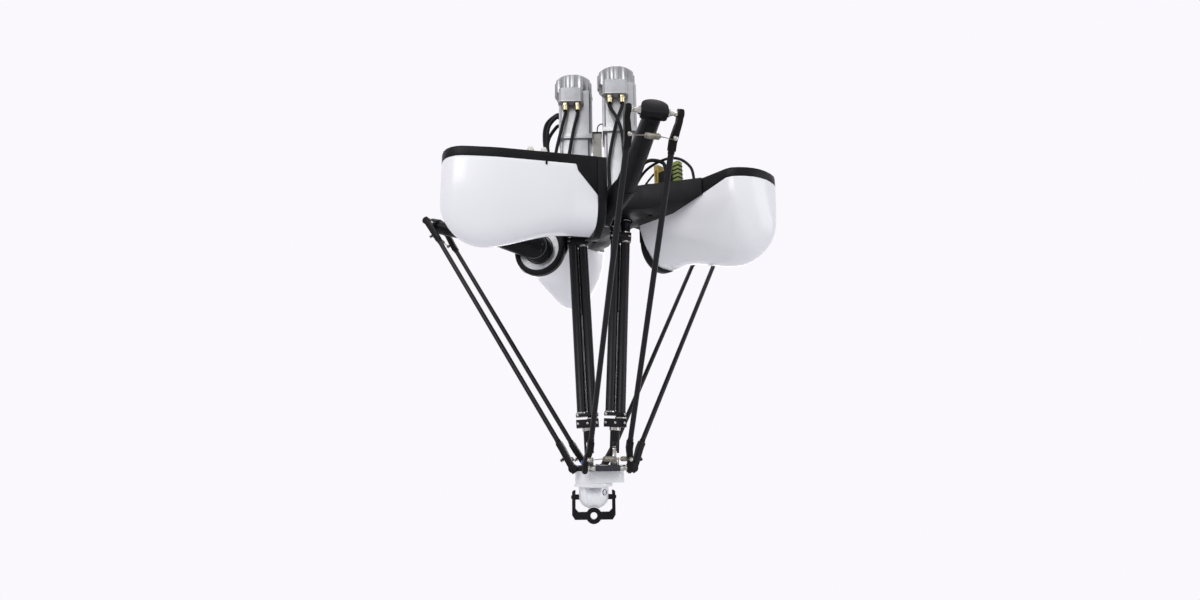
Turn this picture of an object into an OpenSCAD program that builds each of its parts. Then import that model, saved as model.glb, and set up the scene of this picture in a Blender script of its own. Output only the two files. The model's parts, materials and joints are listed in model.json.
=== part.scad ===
// Ceiling-mounted five-axis delta robot, drawn in its raised home pose.
// Origin: centre of the three mounting pads. Z = 0 is the mounting plane and the robot hangs below.
// Arm A points along -Y; arms B and C are the same parts turned by -120 and +120 degrees.

/* [Delta linkage] */
// Distance of each arm pivot from the robot axis
pivot_r = 210; // [206:1:214]
// Depth of the arm pivots below the mounting plane
pivot_drop = 130; // [127:1:134]
// Upper arm length, pivot to ball line
arm_len = 351.6; // [336:0.1:368]
// Angle of the upper arms above the horizontal in the home pose
arm_raise = 16.27; // [14.5:0.01:18]
// Length of the carbon rods between ball centres
rod_len = 900; // [860:1:940]
// Distance between the two balls of a pair
ball_gap = 104; // [100:1:110]
// Distance of the lower balls from the platform centre
platform_r = 61.6; // [60:0.1:64]
// Ball diameter
ball_d = 14; // [12:0.5:15]
// Rod tube diameter
rod_d = 14; // [12:0.5:15]

/* [Upper arm] */
// Diameter of the hub boss
hub_d = 86; // [82:1:90]
// Distance of the boss's bolted face behind the arm's centre line
hub_face = 16; // [14:1:18]
// Bolt circle of the hub screws
hub_pcd = 49; // [46:1:52]
// Number of hub screws
hub_bolts_n = 8; // [6:1:10]
// Distance from the pivot to the collar where the tube starts
root_len = 108; // [102:1:114]
// Arm tube diameter at the head
arm_tip_d = 42; // [38:1:46]
// Arm tube diameter at the collar
arm_root_d = 54; // [50:1:58]
// Width of the arm head between the ball studs
head_w = 61; // [56:1:66]
// Length of the arm head along the arm
head_len = 24; // [22:1:28]
// Height of the head's arch above the ball studs
head_h = 25; // [22:1:28]

/* [Base frame] */
// Height of the frame top below the mounting plane
frame_top = 18; // [14:1:22]
// Height of the box-section frame
frame_h = 72; // [64:1:78]
// Thickness of the deck under the wrist drives
deck_t = 16; // [14:1:20]
// Distance of the mounting holes from the axis
pad_r = 162; // [158:1:166]
// Diameter of a mounting pad
pad_d = 38; // [34:1:42]
// Mounting hole diameter
mount_hole_d = 13; // [11:0.5:15]
// Radius of the round end plate behind each hub
end_r = 82.5; // [81:0.5:84]
// Distance of the end plate's face behind the arm's centre line
plate_back = 44; // [43:1:46]
// Thickness of the end plate
end_t = 24; // [20:1:26]

/* [Covers] */
// Distance from an arm's centre line to the outer end of its cover
cover_len = 453.5; // [445:0.5:462]
// Distance of the cover's inner wall from the robot axis
cover_in = 100; // [99:0.5:101]
// Distance of the cover's outer wall from the robot axis
cover_out = 290; // [288:1:292]
// Height of the black band round the top
band_h = 25; // [22:1:28]
// Depth of the belly's lowest point below the frame top
belly_depth = 232; // [226:1:240]
// Depth of the cover under the hub end
throat_depth = 184; // [182:1:188]
// Wall thickness of the moulded covers
shell_t = 4; // [3:0.5:4.5]

/* [Wrist drives] */
// Distance of each wrist motor from the robot axis
drive_r = 70; // [68:1:76]
// Side of the square drive block
drive_w = 92; // [86:1:96]
// Height of the drive block
drive_h = 196; // [185:1:210]
// Side of the motor body
motor_w = 102; // [98:1:106]
// Height of the motor body
motor_h = 158; // [150:1:170]
// Diameter of the fluted cap
cap_d = 116; // [112:1:120]
// Height of the fluted cap
cap_h = 57; // [50:1:64]
// Number of flutes round the cap
flutes = 12; // [10:1:16]

/* [Drive shafts] */
// Depth of the upper universal joints below the mounting plane
joint_drop = 52; // [48:1:56]
// Height of the lower universal joints above the ball plane
joint_rise = 48; // [46:1:52]
// Distance of the lower universal joints from the axis
shaft_foot_r = 36; // [34:0.5:38]
// Diameter of the two sliding tubes
tube_d = 27; // [25:0.5:27.5]
// Distance between the two sliding tubes
tube_gap = 29; // [27:0.5:31]
// Diameter of the single tube to the lower joint
stem_d = 26; // [24:0.5:27]

/* [Platform and wrist] */
// Thickness of the platform
plate_t = 15; // [13:1:16]
// Width of the platform's ball-stud blocks
plate_block_w = 65; // [60:1:68]
// Offset of the wrist axis towards arm B
wrist_off = 24; // [22:1:26]
// Radius of the wrist housing
wrist_r = 50; // [47:1:52]
// Height of the wrist housing
wrist_h = 40; // [36:1:42]
// Radius of the turning dome
dome_r = 40; // [38:1:41]
// Height of the dome
dome_h = 58; // [56:1:60]
// Depth of the tilt axis below the dome's top
tilt_drop = 27; // [25:1:30]
// Inner width of the yoke
yoke_in = 98; // [96:1:102]
// Thickness of the yoke's arms
yoke_t = 9; // [8:1:11]
// Distance from the tilt axis to the centre of the tool hole
yoke_len = 44; // [43:1:47]
// Diameter of the tool hole
tool_hole_d = 18; // [14:1:20]

/* [Hidden] */
$fn = 48;
fit = 0.3;
azimuth = [0, -120, 120];
tip_r = pivot_r + arm_len * cos(arm_raise);
tip_z = -pivot_drop + arm_len * sin(arm_raise);
rod_out = tip_r - platform_r;
rod_drop = sqrt(rod_len * rod_len - rod_out * rod_out);
rod_tilt = asin(rod_out / rod_len);
plat_z = tip_z - rod_drop;
end_x = -plate_back;
cover_x = end_x - end_t;
joint_z = -joint_drop;
foot_z = plat_z + joint_rise;
shaft_run = joint_z - foot_z;
shaft_tilt = atan((drive_r - shaft_foot_r) / shaft_run);
view_turn = -13;
wrist_x = -wrist_off * sin(60);
wrist_y = wrist_off * cos(60);
house_z = plat_z - plate_t / 2;
dome_z = house_z - wrist_h - fit;
tilt_z = dome_z - tilt_drop;
pad_turn = -67.5;
band_z = -frame_top - band_h;
frame_z = -frame_top - frame_h;
deck_rise = 2;
wing_len = 312;
drive_bore_d = 96;
recess_d = 132;
recess_t = 9;
rim_r = 7;
boot_d = 46;
shaft_hole_d = 66;
cap_shift = [-8, -6];
gland_x = [-30, 7];
end_len = 80;
post_y = -rod_d / 2 - 6;
upper_post = [0.5, 51];
lower_post = [4, 36];
coil_len = 42;
coil_r = 6;
wire_d = 2.6;
post_d = 5;
stud_r = 7;
hook_d = 2;
tube_x = tube_gap / 2;
block_w = tube_gap + tube_d + 6;
block_t = tube_d + 6;
block_h = 22;
neck_d = 26;
sleeve_top = -32;
clamp_top = -48;
guide_top = -76;
guide_t = 8;
cheek_t = 6;
fork_gap = 1.8;
tongue_t = 10;
cross_d = 11;
lobe_r = 25;
boss_r = 21;
bar_h = 20;
yoke_w = 16;
trunnion_d = 14;

// ---- Placing ----
module at_arm(i) {
    rotate([0, 0, azimuth[i]]) children();
}

// Arm frame: the arm runs along -Y from the pivot, raised to its home angle
module in_arm(i) {
    at_arm(i)
        translate([0, -pivot_r, -pivot_drop])
            rotate([-arm_raise, 0, 0]) children();
}

// Rod frame: the origin is the upper ball line, the rods run along -Z
module in_rods(i) {
    at_arm(i)
        translate([0, -tip_r, tip_z])
            rotate([rod_tilt, 0, 0]) children();
}

// Drives: side is -1 for the left one (towards arm B) and 1 for the right one
module at_drive(side) {
    translate([side * drive_r * sin(60), -side * drive_r * cos(60), 0])
        rotate([0, 0, view_turn]) children();
}

// Shaft frame: the origin is the upper joint and the shaft runs along -Z, leaning inwards
module in_shaft(side) {
    translate([side * drive_r * sin(60), -side * drive_r * cos(60), joint_z])
        rotate([0, 0, -30])
            rotate([0, side * shaft_tilt, 0])
                rotate([0, 0, 30 + view_turn]) children();
}

module at_wrist() {
    translate([wrist_x, wrist_y, 0]) rotate([0, 0, view_turn]) children();
}

// Cylinder along X from x0 to x1
module x_rod(x0, x1, d) {
    translate([x0, 0, 0]) rotate([0, 90, 0]) cylinder(h = x1 - x0, d = d);
}

// ---- Shared curves ----
function limit(t) = min(1, max(0, t));
function ease(t) = let (u = limit(t)) u * u * (3 - 2 * u);

// Swept tube: rings of n points along the smoothed route
function smooth_at(p, i, t) = let (
    a = p[max(i - 1, 0)],
    b = p[i],
    c = p[i + 1],
    d = p[min(i + 2, len(p) - 1)]
) 0.5 * (2 * b + (c - a) * t + (2 * a - 5 * b + 4 * c - d) * t * t + (3 * b - a - 3 * c + d) * t * t * t);
function smooth(p, k) = concat(
    [for (i = [0:len(p) - 2]) for (j = [0:k - 1]) smooth_at(p, i, j / k)], [p[len(p) - 1]]);
function unit(v) = v / norm(v);
function side_of(t) = unit(cross(t, abs(t[2]) > 0.9 ? [0, 1, 0] : [0, 0, 1]));
function across(s, t) = unit(s - t * (s * t));
function sides(t, out) = len(out) == len(t) ? out
    : sides(t, concat(out, [across(out[len(out) - 1], t[len(out)])]));

module cord(route, d, k = 2, n = 8) {
    p = smooth(route, k);
    last = len(p) - 1;
    end = len(route) - 1;
    t = [for (i = [0:last]) i == 0 ? unit(route[1] - route[0])
        : i == last ? unit(route[end] - route[end - 1])
        : unit(p[i + 1] - p[i - 1])];
    s = sides(t, [side_of(t[0])]);
    points = [for (i = [0:last]) let (
        u = s[i],
        v = cross(t[i], u)
    ) for (j = [0:n - 1]) p[i] + d / 2 * (u * cos(360 * j / n) + v * sin(360 * j / n))];
    faces = concat(
        [[for (j = [0:n - 1]) j]],
        [for (i = [0:last - 1]) for (j = [0:n - 1]) let (m = (j + 1) % n, a = i * n, b = a + n)
            [a + j, b + j, b + m, a + m]],
        [[for (j = [n - 1:-1:0]) last * n + j]]);
    polyhedron(points, faces, convexity = 6);
}

// ---- Covers: plan outline and depth at distance s from the arm's centre line ----
cover_s = -cover_x;
knee_s = cover_s + 51;
taper_s = 400;
wing_s = wing_len;
wedge_end = 390;
wedge_z = band_z - 20;
corner_drop = 64;
lip = 17;
round_s = cover_len - 60;
rise_s = cover_len - 113;
shift_s = 300;
rim_drop = 1.2;
side_h = 81;
function round_k(s) = pow(1 - pow(limit((s - round_s) / (cover_len - round_s)), 2.5), 0.4);
function outer_line(s) = -cover_out + 11 * ease((s - 300) / 150);
function inner_line(s) = -cover_in - 0.65 * max(0, s - taper_s);
function mid_y(s) = (outer_line(s) + inner_line(s)) / 2;
function half_w(s) = (inner_line(s) - outer_line(s)) / 2 * round_k(s);
function fall(s) = throat_depth + (belly_depth - throat_depth) * ease((s - 128) / 230);
function depth(s) = let (t = limit((s - rise_s) / (cover_len - rise_s)))
    fall(s) - (fall(s) - belly_depth / 2) * (1 - sqrt(1 - t * t));
function outer_top(s) = s < knee_s ? band_z - lip - corner_drop * (1 - limit((s - cover_s) / (knee_s - cover_s)))
    : band_z - lip * (1 - limit((s - knee_s) / 4));
function inner_top(s) = band_z + (wedge_z - band_z) * (1 - limit((s - wing_s) / (wedge_end - wing_s)));
stations = concat(
    [for (k = [0:3]) cover_s + (knee_s - cover_s) * k / 3], [knee_s + 4],
    [for (k = [1:6]) knee_s + 4 + (wing_s - knee_s - 4) * k / 6],
    [for (k = [1:3]) wing_s + (wedge_end - wing_s) * k / 3],
    [for (k = [1:6]) wedge_end + (cover_len - wedge_end) * sin(14 * k)]);

// The outer wall is square and the inner one round at the hub end; at the belly both are alike
// and the lowest line leans outwards
function shell_point(s, turn, wall) = let (
    e = ease((s - 100) / 200),
    n = turn < 90 ? 3.3 - 1.1 * e : 1.7 + 0.5 * e,
    c = sign(cos(turn)) * pow(abs(cos(turn)), 2 / n),
    r = pow(abs(sin(turn)), 2 / n),
    top = (turn < 90 ? outer_top(s) : inner_top(s)) - fit - (wall > 0 ? rim_drop : 0),
    low = -frame_top - depth(s) + wall - (5 + 33 * e) * c,
    x = -s + wall * ease((s - shift_s) / (cover_len - shift_s))
) [x, mid_y(s) - max(half_w(s) - wall, 1) * c, top - (top - low) * r];

module cover(i) {
    m = 20;
    ring = m + 1;
    count = len(stations);
    outer = [for (s = stations) for (j = [0:m]) shell_point(s, 180 * j / m, 0)];
    inner = [for (s = stations) for (j = [0:m]) shell_point(s, 180 * j / m, shell_t)];
    off = count * ring;
    last = (count - 1) * ring;
    faces = concat(
        [for (k = [0:count - 2]) for (j = [0:m - 1]) let (a = k * ring + j) [a + 1, a + ring + 1, a + ring, a]],
        [for (k = [0:count - 2]) for (j = [0:m - 1]) let (a = off + k * ring + j)
            [a + ring, a + ring + 1, a + 1, a]],
        [for (k = [0:count - 2]) let (a = k * ring) [a + ring, off + a + ring, off + a, a]],
        [for (k = [0:count - 2]) let (a = k * ring + m) [off + a, off + a + ring, a + ring, a]],
        [for (j = [0:m - 1]) [off + j, off + j + 1, j + 1, j]],
        [[for (j = [0:m]) last + j]],
        [[for (j = [m:-1:0]) off + last + j]],
        [[off + last + m, off + last, last, last + m]]);
    color("white")
        at_arm(i) polyhedron(concat(outer, inner), faces, convexity = 8);
}

// ---- Base ----
wing_y = -cover_in + 0.5;
function turn_pt(p, a) = [p[0] * cos(a) - p[1] * sin(a), p[0] * sin(a) + p[1] * cos(a)];
wall_line = [[-85, 71], [-164, -5], [-wing_s, wing_y + 4], [-wing_s, wing_y], [end_x + 6, wing_y]];
frame_plan = [for (a = [0, 120, 240]) for (p = wall_line) turn_pt(p, a)];

module base_frame() {
    color([0.10, 0.10, 0.11])
        difference() {
            union() {
                translate([0, 0, frame_z]) linear_extrude(frame_h) polygon(frame_plan);
                for (side = [-1, 1])
                    at_drive(side)
                        translate([-drive_w / 2, -drive_w / 2, -frame_top - deck_t])
                            cube([drive_w, drive_w, deck_t + deck_rise]);
                for (i = [0:2]) {
                    at_arm(i) end_plate();
                    rotate([0, 0, azimuth[i] + pad_turn])
                        translate([0, -pad_r, -frame_top - 4]) cylinder(h = frame_top + 4, d = pad_d);
                }
            }
            for (i = [0:2]) {
                at_arm(i) wing_slope();
                rotate([0, 0, azimuth[i] + pad_turn])
                    translate([0, -pad_r, frame_z - 1]) cylinder(h = frame_h + frame_top + 2, d = mount_hole_d);
            }
            for (side = [-1, 1])
                translate([side * drive_r * sin(60), -side * drive_r * cos(60), frame_z - 1])
                    cylinder(h = frame_h + frame_top + 2, d = shaft_hole_d);
        }
}

// Round plate behind each hub with a straight web up to the frame; the arm drive passes through its bore
module end_plate() {
    web = frame_h - 4;
    translate([cover_x, -pivot_r, -pivot_drop])
        difference() {
            union() {
                rotate([90, 0, 90])
                    linear_extrude(end_t - 0.5) {
                        translate([-end_r + 0.5, 0]) square([2 * end_r - 1, pivot_drop - frame_top - 2]);
                        translate([0, pivot_drop + frame_z + 2]) square([pivot_r - cover_in + 8, web]);
                    }
                rotate([0, 90, 0])
                    rotate_extrude($fn = 96)
                        polygon(concat([[0, 0.5], [end_r - 1.5, 0.5], [end_r, 2]],
                            [for (k = [0:6]) [end_r - rim_r + rim_r * cos(15 * k), end_t - rim_r + rim_r * sin(15 * k)]],
                            [[0, end_t]]));
            }
            x_rod(-1, end_t + 1, drive_bore_d);
            x_rod(end_t - recess_t, end_t + 1, recess_d);
        }
}

// The wing's underside rises towards its outer end
module wing_slope() {
    translate([0, 100, 0])
        rotate([90, 0, 0])
            linear_extrude(250)
                polygon([[-200, frame_z - 1], [-wing_s - 10, wedge_z], [-wing_s - 10, frame_z - 1]]);
}

// Plan outline of a cover from distance s0 outwards, drawn in by w
function plan_x(s, w) = -(s - w * ease((s - round_s) / 60));
function cover_plan(w, s0) = let (
    list = concat([s0], [for (s = stations) if (s > s0) s])
) concat(
    [for (s = list) [plan_x(s, w), mid_y(s) - max(half_w(s) - w, 1)]],
    [for (k = [len(list) - 1:-1:0]) let (s = list[k]) [plan_x(s, w), mid_y(s) + max(half_w(s) - w, 1)]]);
function below(edge) = concat(edge, [
    [edge[len(edge) - 1][0] - 20, edge[len(edge) - 1][1]],
    [edge[len(edge) - 1][0] - 20, band_z - side_h - 5],
    [edge[0][0] + 20, band_z - side_h - 5],
    [edge[0][0] + 20, edge[0][1]]]);

// Black upper shell over each arm drive: lid, band, corner panel and wedge
module shroud(i) {
    full = band_h + side_h + 2;
    color([0.09, 0.09, 0.10])
        at_arm(i)
            difference() {
                translate([0, 0, -frame_top - full]) linear_extrude(full) polygon(cover_plan(0, cover_s));
                translate([0, 0, -frame_top - full - 1])
                    linear_extrude(full + 1 - shell_t) polygon(cover_plan(shell_t, cover_s - 5));
                translate([0, mid_y(cover_s), 0])
                    rotate([90, 0, 0])
                        linear_extrude(200) polygon(below([for (s = stations) [-s, outer_top(s)]]));
                translate([0, 50, 0])
                    rotate([90, 0, 0])
                        linear_extrude(50 - mid_y(cover_s)) polygon(below([for (s = stations) [-s, inner_top(s)]]));
            }
}

// Gearbox and servo motor of one arm, inside the covers; its output flange fills the end plate's recess
module arm_drive(i) {
    color([0.45, 0.46, 0.48])
        at_arm(i)
            translate([0, -pivot_r, -pivot_drop]) {
                x_rod(end_x - recess_t, end_x - 3, recess_d - 2 * fit);
                x_rod(cover_x - 4, end_x - recess_t, drive_bore_d - 2 * fit);
                x_rod(cover_x - 16, cover_x - 4, 88);
                x_rod(cover_x - 80, cover_x - 16, 80);
                x_rod(cover_x - 250, cover_x - 80, 76);
                translate([cover_x - 240, -20, 30]) cube([42, 40, 30]);
            }
}

// ---- Vertical wrist drives ----
drive_z = -frame_top + deck_rise;
motor_z = drive_z + drive_h;
cap_z = motor_z + motor_h;
box_y = -motor_w / 2;

module wrist_drive(side) {
    color([0.62, 0.63, 0.64])
        at_drive(side)
            difference() {
                translate([-drive_w / 2, -drive_w / 2, drive_z]) cube([drive_w, drive_w, drive_h]);
                for (x = [-1, 1], y = [-1, 1])
                    translate([x * drive_w / 2, y * drive_w / 2, drive_z + 14])
                        cylinder(h = drive_h, r = 8);
            }
}

module wrist_motor(side) {
    color([0.70, 0.71, 0.72])
        at_drive(side)
            difference() {
                translate([-motor_w / 2, -motor_w / 2, motor_z]) cube([motor_w, motor_w, motor_h]);
                for (x = [-1, 1], y = [-1, 1])
                    translate([x * motor_w / 2, y * motor_w / 2, motor_z + 12])
                        cylinder(h = motor_h, r = 9);
                for (a = [90, 180, 270])
                    rotate([0, 0, a])
                        for (x = [-24, 24])
                            translate([x - 4, -motor_w / 2 - 1, motor_z + 12]) cube([8, 5, motor_h]);
            }
}

// Fluted cap: scallops round the rim and a bevelled shoulder
module motor_cap(side) {
    color([0.74, 0.75, 0.76])
        at_drive(side)
            translate([cap_shift[0], cap_shift[1], 0]) difference() {
                translate([0, 0, cap_z])
                    rotate_extrude($fn = 96)
                        polygon([[0, 0], [cap_d / 2 - 3, 0], [cap_d / 2, 4], [cap_d / 2, cap_h - 10],
                            [cap_d / 2 - 12, cap_h], [0, cap_h]]);
                for (k = [0:flutes - 1])
                    rotate([0, 0, 360 * (k + 0.5) / flutes])
                        translate([cap_d / 2 + 8, 0, cap_z - 1]) cylinder(h = cap_h + 2, r = 13);
            }
}

module connector_box(side) {
    color([0.72, 0.73, 0.74])
        at_drive(side)
            translate([-50, box_y, cap_z]) {
                translate([0, -24, -48]) linear_extrude(44) polygon([[8, 0], [66, 0], [74, 8], [74, 24], [0, 24], [0, 8]]);
                translate([-2, -26, -52]) linear_extrude(4) polygon([[8, 0], [70, 0], [78, 8], [78, 26], [0, 26], [0, 8]]);
            }
}

gland_z = cap_z - 52;

module cable_glands() {
    color([0.72, 0.62, 0.38])
        for (side = [-1, 1])
            at_drive(side)
                for (x = gland_x)
                    translate([x, box_y - 13, gland_z - 24]) {
                        translate([0, 0, 14]) cylinder(h = 10, d = 20, $fn = 6);
                        cylinder(h = 14, d = 15);
                    }
}

module junction_box() {
    color([0.60, 0.59, 0.56])
        rotate([0, 0, view_turn])
            translate([-14, -6, -frame_top]) {
                cube([26, 34, 222]);
                translate([-1, -1, 222]) cube([28, 36, 4]);
            }
}

module vent_cap() {
    color([0.85, 0.85, 0.80])
        at_arm(0)
            for (x = [-202, -236])
                translate([x, 26 - cover_out, -frame_top]) {
                    cylinder(h = 14, d = 18);
                    translate([0, 0, 14]) cylinder(h = 8, d1 = 18, d2 = 12);
                }
}

// Electrics on the wing of arm C
module on_wing() {
    rotate([0, 0, azimuth[2]]) translate([82 - wing_len, wing_y + 5.5, -frame_top]) children();
}

module terminal_block() {
    color([0.08, 0.08, 0.09])
        on_wing() {
            translate([7, 2, 0]) cube([34, 32, 46]);
            translate([10, 4, 46]) cube([10, 26, 12]);
            translate([10, 6, 58]) cube([10, 10, 10]);
        }
}

module terminal_clip() {
    color([0.80, 0.62, 0.15])
        on_wing()
            translate([42, 2, 0])
                difference() {
                    cube([14, 34, 72]);
                    translate([4, -1, 20]) cube([6, 36, 34]);
                }
}

module striped_plug() {
    color([0.45, 0.55, 0.12])
        on_wing() translate([-22, 3, 0]) cube([20, 20, 66]);
}

// ---- Cables: routes in each drive's own frame ----
power_left = [[-30, -64, 262], [-30, -64, 250], [-40, -66, 205], [-60, -60, 110], [-64, -58, -8], [-64, -58, -18]];
signal_left = [[7, -64, 262], [7, -64, 250], [-8, -66, 180], [-26, -62, 60], [-26, -60, -8], [-26, -60, -18]];
power_right = [[-30, -64, 262], [-30, -64, 250], [-8, -76, 200], [6, -74, 140], [12, -62, -8], [12, -62, -18]];
signal_right = [[7, -64, 262], [7, -64, 250], [-12, -60, 195], [-34, -62, 80], [-34, -60, -8], [-34, -60, -18]];

module motor_cables(side) {
    color([0.07, 0.07, 0.08])
        at_drive(side) {
            cord(side < 0 ? power_left : power_right, 10);
            cord(side < 0 ? signal_left : signal_right, 10);
        }
}

bundle_routes = [
    [[-51, 13, 290], [-64, 13, 290], [-96, 12, 252], [-96, 8, 170], [-66, 4, 30], [-66, 4, -18]],
    [[-51, -4, 272], [-63, -4, 272], [-86, -4, 236], [-87, -6, 160], [-66, -12, 40], [-66, -12, -18]],
    [[-51, 35, 262], [-63, 35, 262], [-89, 36, 216], [-88, 32, 150], [-66, 20, 30], [-66, 20, -18]]
];

module cable_bundle() {
    color([0.07, 0.07, 0.08])
        at_drive(-1)
            for (route = bundle_routes)
                cord(route, 11);
}

harness_route = [[86, -104, -18], [86, -104, -6], [94, -106, 44], [124, -116, 72], [160, -130, 64],
    [169.3, -133.2, 42], [169.3, -133.2, 28]];

module cable_harness() {
    color([0.07, 0.07, 0.08])
        cord(harness_route, 11);
}

// ---- Upper arms ----
// Boss with a ring of screws, cranked root, collar, tube and arched head
module upper_arm(i) {
    back = -plate_back + 1;
    color([0.07, 0.07, 0.08])
        in_arm(i) {
            rotate([0, 90, 0])
                rotate_extrude($fn = 64)
                    polygon([[0, back - 3], [hub_d / 2 - 2, back - 3], [hub_d / 2, back], [hub_d / 2, -hub_face - 4],
                        [hub_d / 2 - 3, -hub_face], [0, -hub_face]]);
            for (k = [0:hub_bolts_n - 1])
                rotate([360 * (k + 0.5) / hub_bolts_n, 0, 0])
                    translate([0, 0, hub_pcd / 2]) x_rod(-hub_face - 1, -hub_face + 2.5, 7);
            hull() {
                x_rod(back + 4, -hub_face - 4, hub_d - 8);
                translate([1, -50, 0]) sphere(r = 21);
                rotate([90, 0, 0]) translate([0, 0, root_len - 14]) cylinder(h = 12, d = arm_root_d + 3);
            }
            rotate([90, 0, 0])
                translate([0, 0, root_len - 3]) cylinder(h = arm_len - root_len - 4, d1 = arm_root_d, d2 = arm_tip_d);
            translate([0, -arm_len + head_len / 2, 0])
                rotate([90, 0, 0])
                    linear_extrude(head_len)
                        polygon(concat([[head_w / 2, -11], [head_w / 2, 8]],
                            [for (k = [1:11]) [head_w / 2 * cos(15 * k), 8 + (head_h - 8) * sin(15 * k)]],
                            [[-head_w / 2, 8], [-head_w / 2, -11], [-head_w / 2 + 6, -14], [head_w / 2 - 6, -14]]));
        }
}

// Ball stud on the +X side of a block that ends at x0
module ball_stud(x0) {
    ball_x = ball_gap / 2;
    rotate([0, 90, 0])
        rotate_extrude()
            polygon([[0, x0], [stud_r, x0], [stud_r, x0 + 3], [4, ball_x - ball_d / 2 + 2], [0, ball_x]]);
    translate([ball_x, 0, 0]) sphere(d = ball_d, $fn = 64);
}

module arm_studs(i) {
    color([0.75, 0.75, 0.76])
        in_arm(i)
            translate([0, -arm_len, 0])
                for (side = [0, 1])
                    mirror([side, 0, 0]) ball_stud(head_w / 2);
}

// ---- Rods ----
module rods(i) {
    color([0.08, 0.08, 0.09])
        in_rods(i)
            for (side = [-1, 1])
                translate([side * ball_gap / 2, 0, -rod_len + end_len])
                    cylinder(h = rod_len - 2 * end_len, d = rod_d);
}

// Cranked rod end on the +X side: the cup sits outside the ball, the shank comes back to the rod's axis
module rod_end(post) {
    wide = rod_d / 2 + 1;
    difference() {
        union() {
            rotate([90, 0, 0])
                translate([0, 0, -wide])
                    linear_extrude(2 * wide)
                        polygon([[1.5, 8], [5, 12], [11, 12], [14.5, 8], [14.5, -16], [wide, -62], [wide, -end_len],
                            [-wide, -end_len], [-wide, -58], [-1, -26], [1.5, -18]]);
            x_rod(1.5, 14.5, ball_d + 9);
        }
        sphere(d = ball_d + 2 * fit, $fn = 64);
    }
    translate([post[0], -wide, -post[1]])
        rotate([90, 0, 0]) {
            cylinder(h = 9, d = post_d);
            translate([0, 0, 9]) cylinder(h = 2, d = post_d + 3);
        }
}

module rod_ends(i) {
    color([0.06, 0.06, 0.07])
        in_rods(i)
            for (side = [0, 1])
                mirror([side, 0, 0])
                    translate([ball_gap / 2, 0, 0]) {
                        rod_end(upper_post);
                        translate([0, 0, -rod_len]) mirror([0, 0, 1]) rod_end(lower_post);
                    }
}

// Extension spring with a ring at each end round its post
module spring(post_u) {
    reach = ball_gap / 2 + post_u;
    rotate([0, 90, 0])
        rotate_extrude($fn = 32)
            union() {
                for (k = [0:16]) translate([coil_r, (k - 8) * 2.4]) circle(d = wire_d, $fn = 16);
                for (z = [-20, 19]) translate([0, z]) square([coil_r, 1]);
            }
    for (side = [0, 1])
        mirror([side, 0, 0]) {
            x_rod(coil_len / 2 - 2, reach - post_d / 2 - hook_d / 2 - 0.5, hook_d);
            translate([reach, 0, 0])
                rotate([90, 0, 0])
                    rotate_extrude() translate([post_d / 2 + hook_d / 2 + fit, 0]) circle(d = hook_d, $fn = 16);
        }
}

module springs(i) {
    color([0.70, 0.70, 0.68])
        in_rods(i) {
            translate([0, post_y, -upper_post[1]]) spring(upper_post[0]);
            translate([0, post_y, -rod_len + lower_post[1]]) spring(lower_post[0]);
        }
}

module platform_studs(i) {
    color([0.75, 0.75, 0.76])
        at_arm(i)
            translate([0, -platform_r, plat_z])
                for (side = [0, 1])
                    mirror([side, 0, 0]) ball_stud(plate_block_w / 2 + fit);
}

// ---- Telescopic drive shafts ----
shaft_len = norm([drive_r - shaft_foot_r, shaft_run]);
lower_block = -shaft_len + 82;
lower_guide = -shaft_len + 98;
input_foot = plat_z + plate_t / 2;

// Sleeve round the upper universal joint, hung on two side pins in the frame
module joint_boot(side) {
    color([0.07, 0.07, 0.08])
        in_shaft(side)
            difference() {
                union() {
                    translate([0, 0, -20]) cylinder(h = 34, d = boot_d);
                    rotate([0, 0, -30 - view_turn])
                        rotate([90, 0, 0])
                            translate([0, 0, -shaft_hole_d / 2 + fit + 0.4])
                                cylinder(h = shaft_hole_d - 2 * fit - 0.8, d = 9);
                }
                translate([0, 0, -21]) cylinder(h = 27, d = neck_d + 2 * fit);
            }
}

module block(x0, x1, z) {
    translate([x0, -block_t / 2, z - block_h]) cube([x1 - x0, block_t, block_h]);
}

module upper_shaft(side) {
    color([0.10, 0.10, 0.11])
        in_shaft(side)
            difference() {
                union() {
                    translate([0, 0, -26]) cylinder(h = 26 - fit, d = neck_d);
                    translate([-block_w / 2 + 2, -10, -31]) cube([block_w / 2 + 10, 20, 7]);
                    translate([-tube_x, 0, lower_guide - guide_t]) cylinder(h = guide_t - lower_guide - 26, d = tube_d);
                    translate([-tube_x, 0, sleeve_top - 16]) cylinder(h = 16, d = tube_d + 2);
                    block(-block_w / 2, -1, clamp_top);
                    translate([-block_w / 2, -block_t / 2, lower_guide - guide_t]) cube([block_w, block_t, guide_t]);
                }
                translate([tube_x, 0, lower_guide - guide_t - 1]) cylinder(h = guide_t + 2, d = tube_d + 2 * fit);
            }
}

module lower_shaft(side) {
    color([0.10, 0.10, 0.11])
        in_shaft(side)
            difference() {
                union() {
                    translate([tube_x, 0, lower_block - 10]) cylinder(h = sleeve_top - lower_block + 10, d = tube_d);
                    translate([tube_x, 0, sleeve_top - 16]) cylinder(h = 16, d = tube_d + 1);
                    block(-block_w / 2, block_w / 2, guide_top);
                    translate([-block_w / 2, -block_t / 2, lower_block - block_h]) cube([block_w, block_t, block_h]);
                    translate([0, 0, -shaft_len + 20]) cylinder(h = 42, d = stem_d);
                    for (s = [-1, 1])
                        translate([s * (tongue_t / 2 + cheek_t / 2 + fork_gap) - cheek_t / 2, -9, -shaft_len - 9])
                            cube([cheek_t, 18, 32]);
                    translate([0, 0, -shaft_len]) x_rod(-12, 12, cross_d - 4);
                }
                translate([-tube_x, 0, guide_top - block_h - 1]) cylinder(h = block_h + 2, d = tube_d + 2 * fit);
            }
}

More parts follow.
